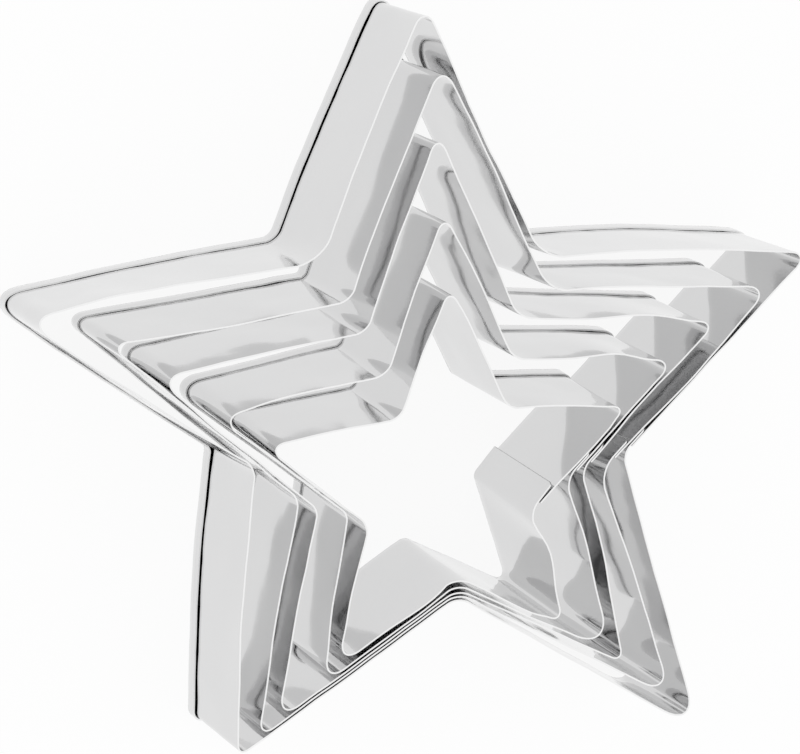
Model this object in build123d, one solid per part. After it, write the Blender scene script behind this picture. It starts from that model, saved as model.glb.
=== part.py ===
from build123d import *
import math
import os

os.makedirs("parts", exist_ok=True)

# The whole set: star cutters of steel strip, each one standing inside the next larger one.
largest_radius = 60.0
size_step = 8.0
cutter_height = 25.0
sheet = 0.25

# The rim on the table: the strip is folded outwards and pressed down along its own wall.
fold_gap = 0.12
lip_height = 3.4
fold_round = 0.08

# Room between one cutter's folded rim and the wall of the cutter around it.
nest_clearance = 0.08

# Every cutter leans back on the wall below it, by this much of a fold's thickness.
lean_share = 0.75

# Bends of the strip: sharp at the tips of the arms, softer in the notches between them.
tip_bend = 1.6
notch_bend = 3.1

# How far the hand-bent sides may bow out of a straight line.
side_bow = 1.0

# The closing seam: the strip's first end lies behind its last end and is spot welded to it.
lap_length = 3.4
seam_gap = 0.08
weld_diameter = 1.8
weld_sides = 8
weld_dent = 0.05
weld_height_shares = (0.3, 0.7)

# How far a cut runs past the surface that it opens.
overrun = 0.2

# Corners of the largest star as shares of its radius, clockwise from the top tip:
# tip, notch, tip, notch and so on, each where two straight sides would meet.
corner_shares = (
    (-0.01, 1.02), (0.27, 0.37),
    (0.99, 0.32), (0.47, -0.15),
    (0.65, -0.88), (0.02, -0.46),
    (-0.57, -0.80), (-0.49, -0.08),
    (-1.06, 0.34), (-0.30, 0.41),
)

# The seam is on the lower side of the right arm, where it runs into the notch below.
seam_side = 2

# Each smaller cutter lies unevenly in the one around it. For each of its sides, in the order
# above: how far the two ends stand off the touching place, as shares of the size step.
gap_shares = (
    (
        (0.05, 0.05), (0.50, 0.50), (0, 0), (0.45, 0.20), (0.30, 0),
        (0, 0), (0.25, 0.85), (0, 0.60), (0.65, 0.70), (0.70, 0.60),
    ),
    (
        (0.50, 0.65), (0.40, 0.60), (0.25, 0.20), (0.25, 0.70), (0.15, 0),
        (0, 0), (0.20, 0.30), (0, 0), (0.65, 0.50), (0.40, 0.30),
    ),
    (
        (0.45, 0.30), (0.65, 0.60), (0, 0), (0.25, 0.05), (0.05, 0.03),
        (0.03, 0), (0.70, 0.50), (0.20, 0), (0.85, 0.75), (0.55, 0.55),
    ),
    (
        (0.40, 0.40), (0.80, 0.75), (0, 0), (0.75, 0.65), (0.05, 0.06),
        (0.06, 0.05), (0.10, 0.35), (0, 0.05), (0.60, 0.75), (0.45, 0.50),
    ),
)

# Bends of each star, in the order of the corners, as shares of the tip or notch bend.
bend_shares = (
    (1.05, 1.85, 0.90, 0.95, 1.60, 1.00, 0.65, 0.95, 1.40, 2.10),
    (1.20, 1.60, 1.20, 1.60, 1.30, 1.10, 0.80, 0.80, 0.75, 1.00),
    (0.80, 1.25, 0.80, 1.05, 0.70, 1.05, 1.10, 0.65, 1.20, 1.00),
    (0.75, 0.90, 1.00, 1.20, 1.90, 1.00, 1.05, 0.60, 1.25, 1.05),
    (0.75, 0.85, 0.65, 1.05, 0.80, 1.15, 1.05, 0.80, 0.90, 0.95),
)

# How far each side of the largest star bows outwards, as shares of the largest bow. The
# smaller stars are stiffer, and their sides are straight.
bow_shares = (0.2, 0.8, 0, 0, 0, 0, 0.6, 0.2, 0.3, 0.4)

names = (
    "largest_star_cutter",
    "large_star_cutter",
    "medium_star_cutter",
    "small_star_cutter",
    "smallest_star_cutter",
)

# Distances from the middle of the strip's thickness, outwards positive.
outer_face = sheet / 2
inner_face = -outer_face
lip_inner = outer_face + fold_gap
lip_outer = lip_inner + sheet

# Between the middles of the seam's two layers, and of two neighbouring walls that touch.
seam_pitch = sheet + seam_gap
nest_pitch = lip_outer + nest_clearance - inner_face
lean_step = (sheet + fold_gap) * lean_share


def outwards(along):
    """The direction out of the star, square to a side that runs clockwise."""
    return along.rotate(Axis.Z, 90)


def direction(start, end):
    """The direction from one point to another."""
    return (end - start).normalized()


def crossing(first, along_first, second, along_second):
    """The point where two lines in plan cross."""
    square = outwards(along_second)
    return first + along_first * ((second - first).dot(square) / along_first.dot(square))


def bend_reach(coming, going, radius):
    """How far before and after its corner a bend begins and ends."""
    return radius * math.tan(math.radians(coming.get_angle(going)) / 2)


def inner_star(corners, gaps):
    """Corners of the next smaller star: each side moved in by the nest pitch and its gaps."""
    lines = []
    for number, (start_share, end_share) in enumerate(gaps):
        start = corners[number]
        end = corners[(number + 1) % len(corners)]
        inwards = -outwards(direction(start, end))
        pitch = nest_pitch + (seam_pitch if number == seam_side else 0)
        start = start + inwards * (pitch + size_step * start_share)
        end = end + inwards * (pitch + size_step * end_share)
        lines.append((start, direction(start, end)))
    return [crossing(*lines[number - 1], *lines[number]) for number in range(len(lines))]


def bend_radii(shares):
    """Bend radius at each corner: tips and notches take turns."""
    sizes = (tip_bend, notch_bend)
    return [sizes[number % len(sizes)] * share for number, share in enumerate(shares)]


def side_edge(start, end, bow):
    """One side of a star, straight or bowed outwards."""
    if bow == 0:
        return Edge.make_line(start, end)
    middle = (start + end) / 2 + outwards(direction(start, end)) * bow
    return Edge.make_three_point_arc(start, middle, end)


def strip_line(path, radii, bows, offset):
    """The strip's line in plan from end to end, moved outwards by an offset."""
    directions = [direction(start, end) for start, end in zip(path, path[1:])]
    here = path[0] + outwards(directions[0]) * offset
    edges = []
    for number, corner in enumerate(path[1:-1]):
        coming = directions[number]
        going = directions[number + 1]
        radius = radii[number] - math.copysign(offset, coming.cross(going).Z)
        corner = corner + (outwards(coming) + outwards(going)) * (offset / (1 + coming.dot(going)))
        reach = bend_reach(coming, going, radius)
        crown = math.hypot(radius, reach) - radius
        start = corner - coming * reach
        end = corner + going * reach
        edges.append(side_edge(here, start, bows[number]))
        edges.append(Edge.make_three_point_arc(start, corner + direction(coming, going) * crown, end))
        here = end
    edges.append(side_edge(here, path[-1] + outwards(directions[-1]) * offset, bows[-1]))
    return edges


def band(path, radii, bows, inner, outer):
    """The flat face between two offsets of the strip's line, with square ends."""
    far = strip_line(path, radii, bows, outer)
    near = strip_line(path, radii, bows, inner)
    ends = [Edge.make_line(near[0] @ 0, far[0] @ 0), Edge.make_line(near[-1] @ 1, far[-1] @ 1)]
    return Face(Wire(far + near + ends))


def standing(face, rise, low, high):
    """A flat face taken up the leaning wall from one height to another."""
    foot = rise * (low / cutter_height)
    run = rise * ((high - low) / cutter_height)
    return extrude(face.moved(Location(foot)), amount=run.length, dir=run)


def spot(weld, off, thickness):
    """A small round of the weld's size, off the weld's plane."""
    return extrude(weld * Pos(0, 0, off) * RegularPolygon(weld_diameter / 2, weld_sides), thickness)


def star_cutter(corners, radii, bows, lean):
    """One cutter: a single strip, folded at the rim, bent to a star and closed by a lapped seam."""
    rise = Vector(0, -lean, cutter_height)
    after = seam_side + 1
    corners = corners[after:] + corners[:after]
    radii = radii[after:] + radii[:after]
    bows = bows[after:] + bows[:after]

    along = direction(corners[-1], corners[0])
    going = direction(corners[0], corners[1])
    back = -outwards(along) * seam_pitch
    corners[0] = crossing(corners[-1] + back, along, corners[1], going)
    reach = bend_reach(along, going, radii[0])
    bend_start = corners[0] - along * reach
    first_end = bend_start - along * lap_length
    last_end = bend_start - back
    strip = [first_end, *corners, last_end]
    rim = [corners[0] + going * reach, *corners[1:], last_end]

    wall = band(strip, radii, [0, *bows], inner_face, outer_face)
    foot = band(rim, radii[1:], bows, 0, lip_outer - fold_round)
    tread = band(rim, radii[1:], bows, 0, lip_outer)
    crease = band(rim, radii[1:], bows, outer_face, lip_inner)
    lip = band(rim, radii[1:], bows, lip_inner, lip_outer)
    tread = tread.moved(Location(rise * (fold_round / cutter_height)))
    body = loft([foot, tread], ruled=True) + standing(wall, rise, 0, cutter_height)
    body = body + standing(crease, rise, fold_round, sheet)
    body = body + standing(lip, rise, fold_round, lip_height)

    facing = rise.cross(along).normalized()
    for share in weld_height_shares:
        middle = bend_start - along * lap_length / 2 + rise * share
        weld = Plane(middle, x_dir=along, z_dir=facing)
        body = body + spot(weld, 0, seam_pitch)
        body = body - spot(weld, inner_face - overrun, overrun + weld_dent)
        body = body - spot(weld, seam_pitch + outer_face - weld_dent, overrun + weld_dent)
    return body


radii = [bend_radii(shares) for shares in bend_shares]
bowed = [side_bow * share for share in bow_shares]
straight = [0] * len(bowed)
star = [Vector(x_share, y_share) * largest_radius for x_share, y_share in corner_shares]
footprint = star_cutter(star, radii[0], bowed, 0).bounding_box().center()
star = [corner - Vector(footprint.X, footprint.Y) for corner in star]

stars = [star]
for gaps in gap_shares:
    stars.append(inner_star(stars[-1], gaps))

for number, name in enumerate(names):
    bows = straight if number else bowed
    cutter = star_cutter(stars[number], radii[number], bows, number * lean_step)
    export_step(cutter, "parts/" + name + ".step")
    print(name, len(cutter.solids()), round(cutter.volume, 1), cutter.bounding_box().size)
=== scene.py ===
import math
import bpy
import bmesh
from mathutils import Matrix, Vector, noise


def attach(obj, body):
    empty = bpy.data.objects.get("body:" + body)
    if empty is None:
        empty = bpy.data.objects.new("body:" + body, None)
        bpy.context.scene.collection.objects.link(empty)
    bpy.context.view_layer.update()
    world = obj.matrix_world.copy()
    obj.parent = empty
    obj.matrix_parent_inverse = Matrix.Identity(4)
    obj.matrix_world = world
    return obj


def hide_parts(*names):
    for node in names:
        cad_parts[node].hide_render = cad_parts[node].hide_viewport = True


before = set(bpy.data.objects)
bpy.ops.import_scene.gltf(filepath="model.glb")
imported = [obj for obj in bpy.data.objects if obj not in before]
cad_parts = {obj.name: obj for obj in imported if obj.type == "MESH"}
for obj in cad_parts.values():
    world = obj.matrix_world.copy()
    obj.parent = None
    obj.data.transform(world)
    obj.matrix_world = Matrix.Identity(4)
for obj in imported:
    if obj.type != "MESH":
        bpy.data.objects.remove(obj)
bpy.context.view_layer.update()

# The photograph's frame and lens, in pixels. The upright lines of the object run to one point.
image_width = 800
image_height = 754
focal_length = 4573
upright_point_x = -1190
upright_point_y = -430
sensor_width = 36

# How far the set is turned in the picture, and what the lens looks at from how far away.
picture_turn = math.radians(5.6)
looked_at = Vector((-0.00544, 0.00183, 0.025))
view_distance = 0.672

# The cutters' driving sizes, in metres, as in the solids that they stand for.
largest_radius = 0.060
size_step = 0.008
cutter_height = 0.025
sheet = 0.00025
fold_gap = 0.00012
lip_height = 0.0034
nest_clearance = 0.00008
lean_share = 0.75
tip_bend = 0.0016
notch_bend = 0.0031
side_bow = 0.001
lap_length = 0.0034
seam_gap = 0.00008
seam_side = 2

# The middle of the largest star from the middle of its footprint.
star_middle = Vector((0.00120, -0.00462, 0))

# Corners of the largest star as shares of its radius, clockwise from the top tip.
corner_shares = (
    (-0.01, 1.02), (0.27, 0.37),
    (0.99, 0.32), (0.47, -0.15),
    (0.65, -0.88), (0.02, -0.46),
    (-0.57, -0.80), (-0.49, -0.08),
    (-1.06, 0.34), (-0.30, 0.41),
)

# How far the ends of each side of each smaller star stand off the star around it.
gap_shares = (
    (
        (0.05, 0.05), (0.50, 0.50), (0, 0), (0.45, 0.20), (0.30, 0),
        (0, 0), (0.25, 0.85), (0, 0.60), (0.65, 0.70), (0.70, 0.60),
    ),
    (
        (0.50, 0.65), (0.40, 0.60), (0.25, 0.20), (0.25, 0.70), (0.15, 0),
        (0, 0), (0.20, 0.30), (0, 0), (0.65, 0.50), (0.40, 0.30),
    ),
    (
        (0.45, 0.30), (0.65, 0.60), (0, 0), (0.25, 0.05), (0.05, 0.03),
        (0.03, 0), (0.70, 0.50), (0.20, 0), (0.85, 0.75), (0.55, 0.55),
    ),
    (
        (0.40, 0.40), (0.80, 0.75), (0, 0), (0.75, 0.65), (0.05, 0.06),
        (0.06, 0.05), (0.10, 0.35), (0, 0.05), (0.60, 0.75), (0.45, 0.50),
    ),
)

# Bends of each star, in the order of the corners, as shares of the tip or notch bend.
bend_shares = (
    (1.05, 1.85, 0.90, 0.95, 1.60, 1.00, 0.65, 0.95, 1.40, 2.10),
    (1.20, 1.60, 1.20, 1.60, 1.30, 1.10, 0.80, 0.80, 0.75, 1.00),
    (0.80, 1.25, 0.80, 1.05, 0.70, 1.05, 1.10, 0.65, 1.20, 1.00),
    (0.75, 0.90, 1.00, 1.20, 1.90, 1.00, 1.05, 0.60, 1.25, 1.05),
    (0.75, 0.85, 0.65, 1.05, 0.80, 1.15, 1.05, 0.80, 0.90, 0.95),
)

# How far each side of the largest star bows outwards, as shares of the largest bow.
bow_shares = (0.2, 0.8, 0, 0, 0, 0, 0.6, 0.2, 0.3, 0.4)

# Where the free cutting edge is sprung out of line: for each side of each star, by which share
# of the largest bow, and at which share of the side's length. It stays within the room
# between the strips, seams included, so that no two of them touch.
edge_shares = (
    (
        (-0.6, 0.5), (0, 0.5), (0, 0.5), (0, 0.5), (0, 0.5),
        (0, 0.5), (0, 0.5), (0, 0.5), (0.4, 0.3), (0.1, 0.5),
    ),
    (
        (0.25, 0.4), (0.3, 0.3), (0.5, 0.45), (0.35, 0.45), (0.1, 0.8),
        (0, 0.5), (0.45, 0.5), (0, 0.5), (-0.35, 0.4), (0.4, 0.3),
    ),
    (
        (0.2, 0.6), (0.8, 0.7), (-0.3, 0.5), (0.6, 0.4), (0, 0.5),
        (0, 0.5), (0.25, 0.5), (0.2, 0.7), (0.2, 0.5), (0.3, 0.4),
    ),
    (
        (0.3, 0.4), (0.85, 0.7), (0, 0.5), (0.45, 0.4), (0.2, 0.4),
        (0.2, 0.3), (0.35, 0.4), (-0.15, 0.7), (0.4, 0.35), (0.3, 0.5),
    ),
    (
        (0.3, 0.3), (0.3, 0.35), (0.25, 0.2), (1.1, 0.4), (0.45, 0.3),
        (0.5, 0.25), (0.3, 0.5), (0.15, 0.5), (0.3, 0.4), (0.3, 0.5),
    ),
)

# A side that isn't sprung.
no_spring = (0, 0.5)

cutter_nodes = (
    "largest_star_cutter",
    "large_star_cutter",
    "medium_star_cutter",
    "small_star_cutter",
    "smallest_star_cutter",
)
cutter_bodies = ("largest", "large", "medium", "small", "smallest")

# The notches are bent tighter at the folded rim than at the cutting edge. At these corners the
# largest star's rim is out of line with its cutting edge, by these shares of the largest bow.
rim_notch_share = 0.4
rim_shift_shares = {0: (0.7, 0), 7: (0, -1), 8: (0.8, -0.5)}

# Mesh steps along the strip and up its wall, the parts of each bend, of the fold and of the
# clipped corner, and how sharp an edge has to be to show as one.
side_pitch = 0.002
wall_rows = 12
bend_step = math.radians(9)
fold_parts = 6
corner_parts = 4
smooth_angle = math.radians(35)

# The lip leans back on the wall: its free edge stands off less than the fold does, and in
# stretches of this size it is pressed down more or less. On the left side of the largest star
# it has sprung open.
lip_press = 0.00016
press_size = 0.012
lip_spring = 0.00015

# The strip's inner end: its upper corner is clipped round, and its shorn edges have a burr in the
# ends' dark colour, partly dull steel and partly painted shade that draws the seam's step as a
# line. On the smallest star it has sprung off the seam by this much.
end_corner = 0.0009
end_burr = 0.0001
seam_spring = 0.0003

# How often light goes to and fro between two walls before it is given up.
mirror_bounces = 16

# The strip isn't quite flat: long shallow waves, stretched along its height.
wave_depth = 0.0005
wave_size = 0.009
wave_stretch = 2.5

# The steel's finish. A noise's scale is about how many of its spots go to a metre, and heights
# are in metres: ripples drawn out up the wall, fine roll lines along the strip, and smears
# that change the tint and the shine.
ripple_scale = 110
ripple_squash = (1, 1, 0.25)
ripple_height = 0.00006
roll_scale = 6000
roll_squash = (0.05, 0.05, 1)
roll_height = 0.0000002
smear_scale = 60
steel_tints = ((0.67, 0.67, 0.675, 1), (0.71, 0.71, 0.71, 1))
steel_roughness = 0.03
smear_roughness = 0.08

# The raw edges' finish, marked by the shears: along the strip a colour lighter than the polished
# face, a painted highlight; at its two ends a dull colour, partly dull sheared steel and partly
# painted shade of the seam's step.
painted_highlight_edge_colour = (0.87, 0.87, 0.87, 1)
end_colour_with_painted_shade = (0.4, 0.4, 0.4, 1)
shear_scale = 700
edge_roughness = 0.25
shear_roughness = 0.2

# Each strip's material slots: its faces, the edges along it, and its two ends.
face_slot, edge_slot, end_slot = range(3)

# The paper lies a hair under the rim. To the lens and in the steel it is mostly plain white.
paper_size = 3
paper_drop = 0.00002
paper_colour = (0.9, 0.9, 0.9, 1)
paper_glow = 0.92

# Between the middles of a fold's two layers, of the seam's two, and of two walls that touch.
fold_pitch = sheet + fold_gap
seam_pitch = sheet + seam_gap
nest_pitch = fold_pitch + sheet + nest_clearance
lean_step = fold_pitch * lean_share

# The height at which the wall's middle meets the round of the fold.
wall_foot = fold_pitch / 2 + sheet / 2

# Each strip's line is drawn from a ring that lies outside every star. Two points of it that
# are closer than this are one.
ring_radius = 2 * largest_radius
same_place = sheet / 10


def add_camera():
    """The camera at the photograph's angle, from the point that the upright lines run to."""
    down = Vector((
        upright_point_x - image_width / 2,
        upright_point_y - image_height / 2,
        focal_length,
    )).normalized()
    up = -down
    picture_up = Vector((0, -1, 0))
    forward = (picture_up - up * up.dot(picture_up)).normalized()
    sideways = forward.cross(up)
    x_axis = math.cos(picture_turn) * sideways + math.sin(picture_turn) * forward
    y_axis = math.cos(picture_turn) * forward - math.sin(picture_turn) * sideways
    turned = Matrix((x_axis, y_axis, up)) @ Matrix.Diagonal((1, -1, -1))
    data = bpy.data.cameras.new("view")
    data.sensor_width = sensor_width
    data.lens = focal_length / image_width * sensor_width
    camera = bpy.data.objects.new("view", data)
    bpy.context.scene.collection.objects.link(camera)
    place = Matrix.Translation(looked_at + turned.col[2] * view_distance)
    camera.matrix_world = place @ turned.to_4x4()
    bpy.context.scene.camera = camera


def direction(start, end):
    """The direction from one point to another."""
    return (end - start).normalized()


def outwards(along):
    """The direction out of the star, square to a side that runs clockwise."""
    return Vector((-along.y, along.x, 0))


def crossing(first, along_first, second, along_second):
    """The point where two lines in plan cross."""
    square = outwards(along_second)
    return first + along_first * ((second - first).dot(square) / along_first.dot(square))


def bend_reach(coming, going, radius):
    """How far before and after its corner a bend begins and ends."""
    return radius * math.tan(coming.angle(going) / 2)


def inner_star(corners, gaps):
    """Corners of the next smaller star: each side moved in by the nest pitch and its gaps."""
    lines = []
    for number, (start_share, end_share) in enumerate(gaps):
        start = corners[number]
        end = corners[(number + 1) % len(corners)]
        inwards = -outwards(direction(start, end))
        pitch = nest_pitch + (seam_pitch if number == seam_side else 0)
        start = start + inwards * (pitch + size_step * start_share)
        end = end + inwards * (pitch + size_step * end_share)
        lines.append((start, direction(start, end)))
    return [crossing(*lines[number - 1], *lines[number]) for number in range(len(lines))]


def strip_path(corners, radii, bows, springs):
    """The strip's corners from its first end, behind the seam, round to its last end."""
    after = seam_side + 1
    corners = corners[after:] + corners[:after]
    radii = radii[after:] + radii[:after]
    bows = bows[after:] + bows[:after]
    springs = springs[after:] + springs[:after]
    along = direction(corners[-1], corners[0])
    going = direction(corners[0], corners[1])
    back = -outwards(along) * seam_pitch
    corners[0] = crossing(corners[-1] + back, along, corners[1], going)
    bend_start = corners[0] - along * bend_reach(along, going, radii[0])
    path = [bend_start - along * lap_length, *corners, bend_start - back]
    return path, radii, [0, *bows], [no_spring, *springs]


def edit(piece, mode="VERT"):
    """Edit mode on one piece, with nothing in it selected."""
    bpy.ops.object.select_all(action="DESELECT")
    piece.select_set(True)
    bpy.context.view_layer.objects.active = piece
    bpy.ops.object.mode_set(mode="EDIT")
    bpy.ops.mesh.select_mode(type=mode)
    bpy.ops.mesh.select_all(action="DESELECT")


def near(point, place):
    """Whether two points are one."""
    return (point - place).length < same_place


def select_corner(piece, place):
    """Selects the one vertex at a place."""
    bpy.ops.mesh.select_mode(type="VERT")
    bpy.ops.mesh.select_all(action="DESELECT")
    mesh = bmesh.from_edit_mesh(piece.data)
    for vertex in mesh.verts:
        vertex.select_set(near(vertex.co, place))
    bmesh.update_edit_mesh(piece.data)


def select_edges(piece, wanted):
    """Selects the edges whose two ends a test accepts."""
    bpy.ops.mesh.select_mode(type="EDGE")
    bpy.ops.mesh.select_all(action="DESELECT")
    mesh = bmesh.from_edit_mesh(piece.data)
    for edge in mesh.edges:
        if wanted(edge.verts[0].co, edge.verts[1].co):
            edge.select_set(True)
    bmesh.update_edit_mesh(piece.data)


def between(start, end):
    """A test for the one edge between two places."""
    return lambda first, second: (
        near(first, start) and near(second, end) or near(first, end) and near(second, start)
    )


def divisions(path):
    """How many cuts each side of the strip's line takes, and how many parts each bend."""
    sides = list(zip(path, path[1:]))
    cuts = [int((end - start).length / side_pitch) for start, end in sides]
    ways = [direction(start, end) for start, end in sides]
    parts = [math.ceil(before.angle(after) / bend_step) for before, after in zip(ways, ways[1:])]
    return cuts, parts


def draw_line(name, path, radii, bows, springs, cuts, parts):
    """The strip's line in plan: a ring of corners, opened, its corners bent, its sides divided."""
    bpy.ops.object.select_all(action="DESELECT")
    bpy.ops.mesh.primitive_circle_add(vertices=len(path), radius=ring_radius)
    piece = bpy.context.object
    piece.name = name
    ring = [vertex.co.copy() for vertex in piece.data.vertices]
    edit(piece)
    for place, corner in zip(ring, path):
        select_corner(piece, place)
        bpy.ops.transform.translate(value=corner - place)
    select_edges(piece, between(path[0], path[-1]))
    bpy.ops.mesh.delete(type="EDGE")
    here = path[0]
    for number, corner in enumerate(path[1:-1]):
        coming = direction(path[number], corner)
        going = direction(corner, path[number + 2])
        reach = bend_reach(coming, going, radii[number])
        select_corner(piece, corner)
        bpy.ops.mesh.bevel(affect="VERTICES", offset=reach, segments=parts[number])
        end = corner - coming * reach
        divide_side(piece, here, end, cuts[number], bows[number], springs[number])
        here = corner + going * reach
        if number == 0:
            rim_start = here
    divide_side(piece, here, path[-1], cuts[-1], bows[-1], springs[-1])
    mark_line(piece, path[0], rim_start)
    bpy.ops.object.mode_set(mode="OBJECT")
    return piece


def divide_side(piece, start, end, cuts, bow, spring):
    """Cuts one side into even lengths, bows it outwards and springs it out of line."""
    if cuts == 0:
        return
    select_edges(piece, between(start, end))
    bpy.ops.mesh.subdivide(number_cuts=cuts)
    mesh = bmesh.from_edit_mesh(piece.data)
    out = outwards(direction(start, end))
    length = (end - start).length
    size, place = spring
    lopsided = math.log(0.5) / math.log(place)
    for vertex in mesh.verts:
        if vertex.select:
            share = (vertex.co - start).length / length
            arch = 4 * share * (1 - share)
            hump = math.sin(math.pi * share ** lopsided) ** 2
            vertex.co += out * (bow * arch + size * hump)
    bmesh.update_edit_mesh(piece.data)


def mark_line(piece, start, rim_start):
    """Notes on each vertex of the line the direction out of the star, and where the rim folds."""
    mesh = bmesh.from_edit_mesh(piece.data)
    out_layer = mesh.verts.layers.float_vector.new("out")
    rim_layer = mesh.verts.layers.float.new("rim")
    vertex = min(mesh.verts, key=lambda candidate: (candidate.co - start).length)
    chain = [vertex]
    edge = None
    while True:
        onward = [candidate for candidate in vertex.link_edges if candidate != edge]
        if not onward:
            break
        edge = onward[0]
        vertex = edge.other_vert(vertex)
        chain.append(vertex)
    sides = [outwards(direction(one.co, other.co)) for one, other in zip(chain, chain[1:])]
    folded = 0.0
    for vertex, before, after in zip(chain, [sides[0], *sides], [*sides, sides[-1]]):
        out = (before + after).normalized()
        vertex[out_layer] = out / out.dot(before)
        if near(vertex.co, rim_start):
            folded = 1.0
        vertex[rim_layer] = folded
    bmesh.update_edit_mesh(piece.data)


def raise_wall(foot_line, edge_line, lean):
    """Puts the two lines at their heights and bridges them with the rows of the wall."""
    rise = Vector((0, -lean, cutter_height))
    for line, height in ((foot_line, wall_foot), (edge_line, cutter_height)):
        edit(line)
        bpy.ops.mesh.select_all(action="SELECT")
        bpy.ops.transform.translate(value=rise * (height / cutter_height))
        bpy.ops.object.mode_set(mode="OBJECT")
    slopes = foot_line.data.attributes.new("slope", "FLOAT_VECTOR", "POINT")
    for slope, foot, edge in zip(slopes.data, foot_line.data.vertices, edge_line.data.vertices):
        up = edge.co - foot.co
        slope.vector = up / up.z
    foot_line.select_set(True)
    bpy.ops.object.join()
    edit(edge_line, "EDGE")
    bpy.ops.mesh.select_all(action="SELECT")
    bpy.ops.mesh.bridge_edge_loops(number_cuts=wall_rows, interpolation="LINEAR")
    mesh = bmesh.from_edit_mesh(edge_line.data)
    out_layer = mesh.verts.layers.float_vector["out"]
    mesh.normal_update()
    # The bridge's faces may all point either way. One at the foot shows which.
    foot = next(face for face in mesh.faces if face.verts[0].co.z < 2 * wall_foot)
    outs = [vertex[out_layer] for vertex in foot.verts if vertex.co.z < wall_foot + sheet]
    if foot.normal.dot(outs[0]) < 0:
        bpy.ops.mesh.flip_normals()
    bpy.ops.object.mode_set(mode="OBJECT")


def clip_corner(piece, start, lean):
    """Rounds the upper corner of the strip's inner end."""
    place = start + Vector((0, -lean, cutter_height))
    edit(piece)
    mesh = bmesh.from_edit_mesh(piece.data)
    corner = min(mesh.verts, key=lambda vertex: (vertex.co - place).length)
    corner.select_set(True)
    bmesh.update_edit_mesh(piece.data)
    bpy.ops.mesh.bevel(affect="VERTICES", offset=end_corner, segments=corner_parts)
    bpy.ops.object.mode_set(mode="OBJECT")


def add_waves():
    """The waves' texture, and the helper that stretches it up the walls."""
    texture = bpy.data.textures.new("waves", "CLOUDS")
    texture.noise_scale = wave_size
    texture.noise_basis = "ORIGINAL_PERLIN"
    stretcher = bpy.data.objects.new("wave_frame", None)
    bpy.context.scene.collection.objects.link(stretcher)
    stretcher.scale = (1, 1, wave_stretch)
    bpy.context.view_layer.update()
    return texture, stretcher


def wave_wall(piece, waves):
    """The strip isn't quite flat: shallow waves all over the wall."""
    texture, stretcher = waves
    displace = piece.modifiers.new("waves", "DISPLACE")
    displace.texture = texture
    displace.texture_coords = "OBJECT"
    displace.texture_coords_object = stretcher
    displace.strength = wave_depth
    displace.mid_level = 0.5
    bpy.ops.object.modifier_apply(modifier=displace.name)


def fold_rim(piece, spring):
    """Extrudes the folded part of the wall's foot step by step round the fold and up the lip."""
    edit(piece, "EDGE")
    mesh = bmesh.from_edit_mesh(piece.data)
    rim_layer = mesh.verts.layers.float["rim"]
    for edge in mesh.edges:
        if edge.is_boundary and all(
            vertex.co.z < wall_foot + sheet and vertex[rim_layer] == 1.0 for vertex in edge.verts
        ):
            edge.select_set(True)
    bmesh.update_edit_mesh(piece.data)
    out_before = 0
    height_before = wall_foot
    for out, height in fold_section():
        bpy.ops.mesh.extrude_edges_move(TRANSFORM_OT_translate={"value": (0, 0, 0)})
        mesh = bmesh.from_edit_mesh(piece.data)
        out_layer = mesh.verts.layers.float_vector["out"]
        slope_layer = mesh.verts.layers.float_vector["slope"]
        for vertex in mesh.verts:
            if vertex.select:
                way_out = vertex[out_layer].copy()
                climb = vertex[slope_layer] * (height - height_before)
                vertex.co += way_out * (out - out_before) + climb
                # The noise goes from -1 to 1, and so the press from none to all of it.
                if height == lip_height:
                    press = lip_press * (0.5 + 0.5 * noise.noise(vertex.co / press_size))
                    opening = spring * min(0, way_out.x) ** 2
                    vertex.co += way_out * (opening - press)
        bmesh.update_edit_mesh(piece.data)
        out_before = out
        height_before = height
    bpy.ops.object.mode_set(mode="OBJECT")


def fold_section():
    """The lip's section from the wall's foot: how far out and how far up each step lies."""
    radius = fold_pitch / 2
    steps = []
    for part in range(1, fold_parts + 1):
        angle = math.pi * part / fold_parts
        steps.append((radius - radius * math.cos(angle), wall_foot - radius * math.sin(angle)))
    steps.append((fold_pitch, lip_height / 2))
    steps.append((fold_pitch, lip_height))
    return steps


class Surface:
    """One node material. Its helper makes any node, from its settings and its inputs."""

    def __init__(self, name):
        self.material = bpy.data.materials.new(name)
        self.material.use_nodes = True
        self.nodes = self.material.node_tree.nodes
        self.links = self.material.node_tree.links
        self.shader = self.nodes["Principled BSDF"]

    def node(self, kind, settings=None, **inputs):
        made = self.nodes.new(kind)
        for name, value in (settings or {}).items():
            setattr(made, name, value)
        for name, value in inputs.items():
            self.feed(made.inputs[name.replace("_", " ")], value)
        return made

    def feed(self, socket, value):
        if isinstance(value, Sum):
            value = value.socket
        if isinstance(value, bpy.types.NodeSocket):
            self.links.new(value, socket)
        else:
            socket.default_value = value

    def value(self, socket):
        return Sum(self, socket)


class Sum:
    """A shader socket that is added to and multiplied as a number is."""

    def __init__(self, surface, socket):
        self.surface = surface
        self.socket = socket

    def maths(self, operation, first, second):
        made = self.surface.node("ShaderNodeMath", {"operation": operation})
        self.surface.feed(made.inputs[0], first)
        self.surface.feed(made.inputs[1], second)
        return Sum(self.surface, made.outputs[0])

    def __add__(self, other):
        return self.maths("ADD", self, other)

    def __mul__(self, other):
        return self.maths("MULTIPLY", self, other)


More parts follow.
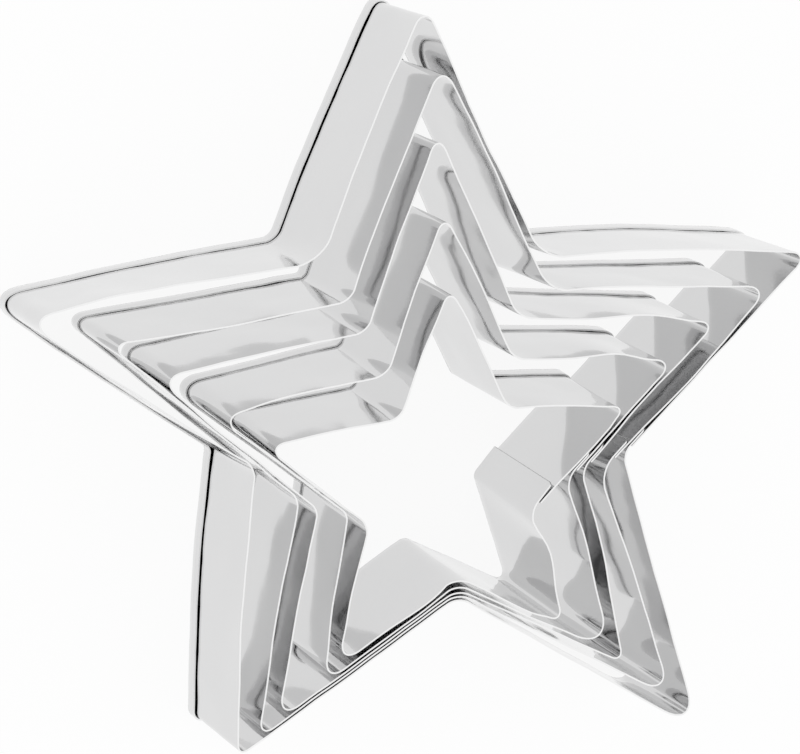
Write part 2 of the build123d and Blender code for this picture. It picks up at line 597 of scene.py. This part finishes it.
def polished_steel():
    """Bright rolled strip: nearly a mirror, with faint waves, roll lines and smears."""
    surface = Surface("polished_steel")
    place = surface.node("ShaderNodeTexCoord").outputs["Object"]
    tall = surface.node("ShaderNodeMapping", Vector=place, Scale=ripple_squash).outputs["Vector"]
    ripples = surface.node(
        "ShaderNodeTexNoise", Vector=tall, Scale=ripple_scale, Detail=2, Roughness=0.4
    )
    flat = surface.node("ShaderNodeMapping", Vector=place, Scale=roll_squash).outputs["Vector"]
    roll_lines = surface.node("ShaderNodeTexNoise", Vector=flat, Scale=roll_scale, Detail=2)
    rippled = surface.value(ripples.outputs["Fac"]) * ripple_height
    rolled = surface.value(roll_lines.outputs["Fac"]) * roll_height
    bump = surface.node("ShaderNodeBump", Height=rippled + rolled, Distance=1.0)
    smears = surface.node("ShaderNodeTexNoise", Vector=place, Scale=smear_scale, Detail=4)
    smeared = surface.value(smears.outputs["Fac"]) * smear_roughness
    # A colour mix takes its factor at 0 and its two colours at 6 and 7, and gives one at 2.
    tint = surface.node("ShaderNodeMix", {"data_type": "RGBA"})
    surface.feed(tint.inputs[0], smears.outputs["Fac"])
    surface.feed(tint.inputs[6], steel_tints[0])
    surface.feed(tint.inputs[7], steel_tints[1])
    shader = surface.shader
    surface.feed(shader.inputs["Normal"], bump.outputs["Normal"])
    surface.feed(shader.inputs["Roughness"], smeared + steel_roughness)
    surface.feed(shader.inputs["Base Color"], tint.outputs[2])
    shader.inputs["Metallic"].default_value = 1
    return surface.material


def sheared_edge(name, colour):
    """A raw edge of the strip, a little rough from the shears."""
    surface = Surface(name)
    place = surface.node("ShaderNodeTexCoord").outputs["Object"]
    marks = surface.node("ShaderNodeTexNoise", Vector=place, Scale=shear_scale, Detail=2)
    marked = surface.value(marks.outputs["Fac"]) * shear_roughness
    shader = surface.shader
    surface.feed(shader.inputs["Roughness"], marked + edge_roughness)
    shader.inputs["Base Color"].default_value = colour
    shader.inputs["Metallic"].default_value = 1
    return surface.material


def thicken(piece, materials):
    """Gives the strip its thickness, and its raw edges and two ends a finish of their own."""
    for material in materials:
        piece.data.materials.append(material)
    for name in ("out", "rim", "slope"):
        piece.data.attributes.remove(piece.data.attributes[name])
    solid = piece.modifiers.new("sheet", "SOLIDIFY")
    solid.thickness = sheet
    solid.offset = 0
    solid.material_offset_rim = edge_slot
    bpy.ops.object.modifier_apply(modifier=solid.name)
    edit(piece, "EDGE")
    bpy.ops.mesh.select_all(action="SELECT")
    bpy.ops.mesh.normals_make_consistent(inside=False)
    mesh = bmesh.from_edit_mesh(piece.data)
    # The strip's two ends are the raw edges that stand upright.
    for face in mesh.faces:
        if face.material_index == edge_slot and abs(face.normal.z) < 0.5:
            face.material_index = end_slot
    for edge in mesh.edges:
        slots = {face.material_index for face in edge.link_faces}
        edge.select_set(slots == {face_slot, end_slot})
    bmesh.update_edit_mesh(piece.data)
    # A narrow burr round each end, in the ends' dark colour: dull sheared steel and painted shade
    # of the seam's step.
    bpy.ops.mesh.bevel(offset=end_burr, segments=1, material=end_slot)
    bpy.ops.object.mode_set(mode="OBJECT")
    bpy.ops.object.shade_smooth_by_angle(angle=smooth_angle)


def star_cutter(number, corners, radii, bows, springs, waves, materials):
    """One cutter, in the place of its solid."""
    shifts = {} if number else rim_shift_shares
    rim_corners = [
        point + Vector((*shifts.get(corner, (0, 0)), 0)) * side_bow
        for corner, point in enumerate(corners)
    ]
    rim_path = strip_path(rim_corners, radii, bows, springs)[0]
    path, radii, bows, springs = strip_path(corners, radii, bows, springs)
    # The strip's line begins at a notch, so its notches have the even numbers.
    rim_radii = [
        radius if corner % 2 else radius * rim_notch_share for corner, radius in enumerate(radii)
    ]
    name = cutter_nodes[number] + "_strip"
    level = [no_spring] * len(springs)
    cuts, parts = divisions(path)
    if number == len(cutter_nodes) - 1:
        for line in (path, rim_path):
            line[0] = line[0] - outwards(direction(line[0], line[1])) * seam_spring
    foot_line = draw_line(name + "_foot", rim_path, rim_radii, bows, level, cuts, parts)
    piece = draw_line(name, path, radii, bows, springs, cuts, parts)
    raise_wall(foot_line, piece, number * lean_step)
    wave_wall(piece, waves)
    clip_corner(piece, path[0], number * lean_step)
    fold_rim(piece, 0 if number else lip_spring)
    thicken(piece, materials)
    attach(piece, cutter_bodies[number])
    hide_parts(cutter_nodes[number])


def add_floor():
    """White paper that glows for the lens and for the steel, and keeps a soft shadow."""
    bpy.ops.object.select_all(action="DESELECT")
    bpy.ops.mesh.primitive_plane_add(size=paper_size, location=(0, 0, -paper_drop))
    floor = bpy.context.object
    floor.name = "floor"
    surface = Surface("white_paper")
    surface.shader.inputs["Base Color"].default_value = paper_colour
    surface.shader.inputs["Roughness"].default_value = 1
    rays = surface.node("ShaderNodeLightPath")
    seen = surface.value(rays.outputs["Is Camera Ray"]) * paper_glow
    mirrored = surface.value(rays.outputs["Is Glossy Ray"]) * paper_glow
    glow = surface.node("ShaderNodeEmission", Color=(1, 1, 1, 1), Strength=1.0)
    mixed = surface.node("ShaderNodeMixShader")
    surface.feed(mixed.inputs[0], seen + mirrored)
    surface.feed(mixed.inputs[1], surface.shader.outputs[0])
    surface.feed(mixed.inputs[2], glow.outputs[0])
    surface.feed(surface.nodes["Material Output"].inputs["Surface"], mixed.outputs[0])
    floor.data.materials.append(surface.material)


def add_studio():
    """Plain white light from all round, and bounces enough for walls that face each other."""
    world = bpy.data.worlds.new("studio")
    bpy.context.scene.world = world
    world.use_nodes = True
    world.node_tree.nodes["Background"].inputs["Color"].default_value = (1, 1, 1, 1)
    world.node_tree.nodes["Background"].inputs["Strength"].default_value = 1.0
    bpy.context.scene.view_settings.view_transform = "Standard"
    bpy.context.scene.cycles.max_bounces = mirror_bounces
    bpy.context.scene.cycles.glossy_bounces = mirror_bounces


add_camera()
add_floor()
add_studio()

waves = add_waves()
materials = (
    polished_steel(),
    # The edges along the strip: rough sheared steel whose colour is lightened as a painted
    # highlight.
    sheared_edge("edge_with_painted_highlight", painted_highlight_edge_colour),
    # The two ends and their burr: dull sheared steel, darkened further as painted shade of the
    # seam's step.
    sheared_edge("dull_end_with_painted_shade", end_colour_with_painted_shade),
)
star = [Vector((*shares, 0)) * largest_radius + star_middle for shares in corner_shares]
for number, shares in enumerate(bend_shares):
    if number:
        star = inner_star(star, gap_shares[number - 1])
    radii = [(tip_bend, notch_bend)[corner % 2] * share for corner, share in enumerate(shares)]
    bows = [0 if number else side_bow * share for share in bow_shares]
    springs = [(side_bow * share, place) for share, place in edge_shares[number]]
    star_cutter(number, star, radii, bows, springs, waves, materials)
bpy.data.objects.remove(waves[1])
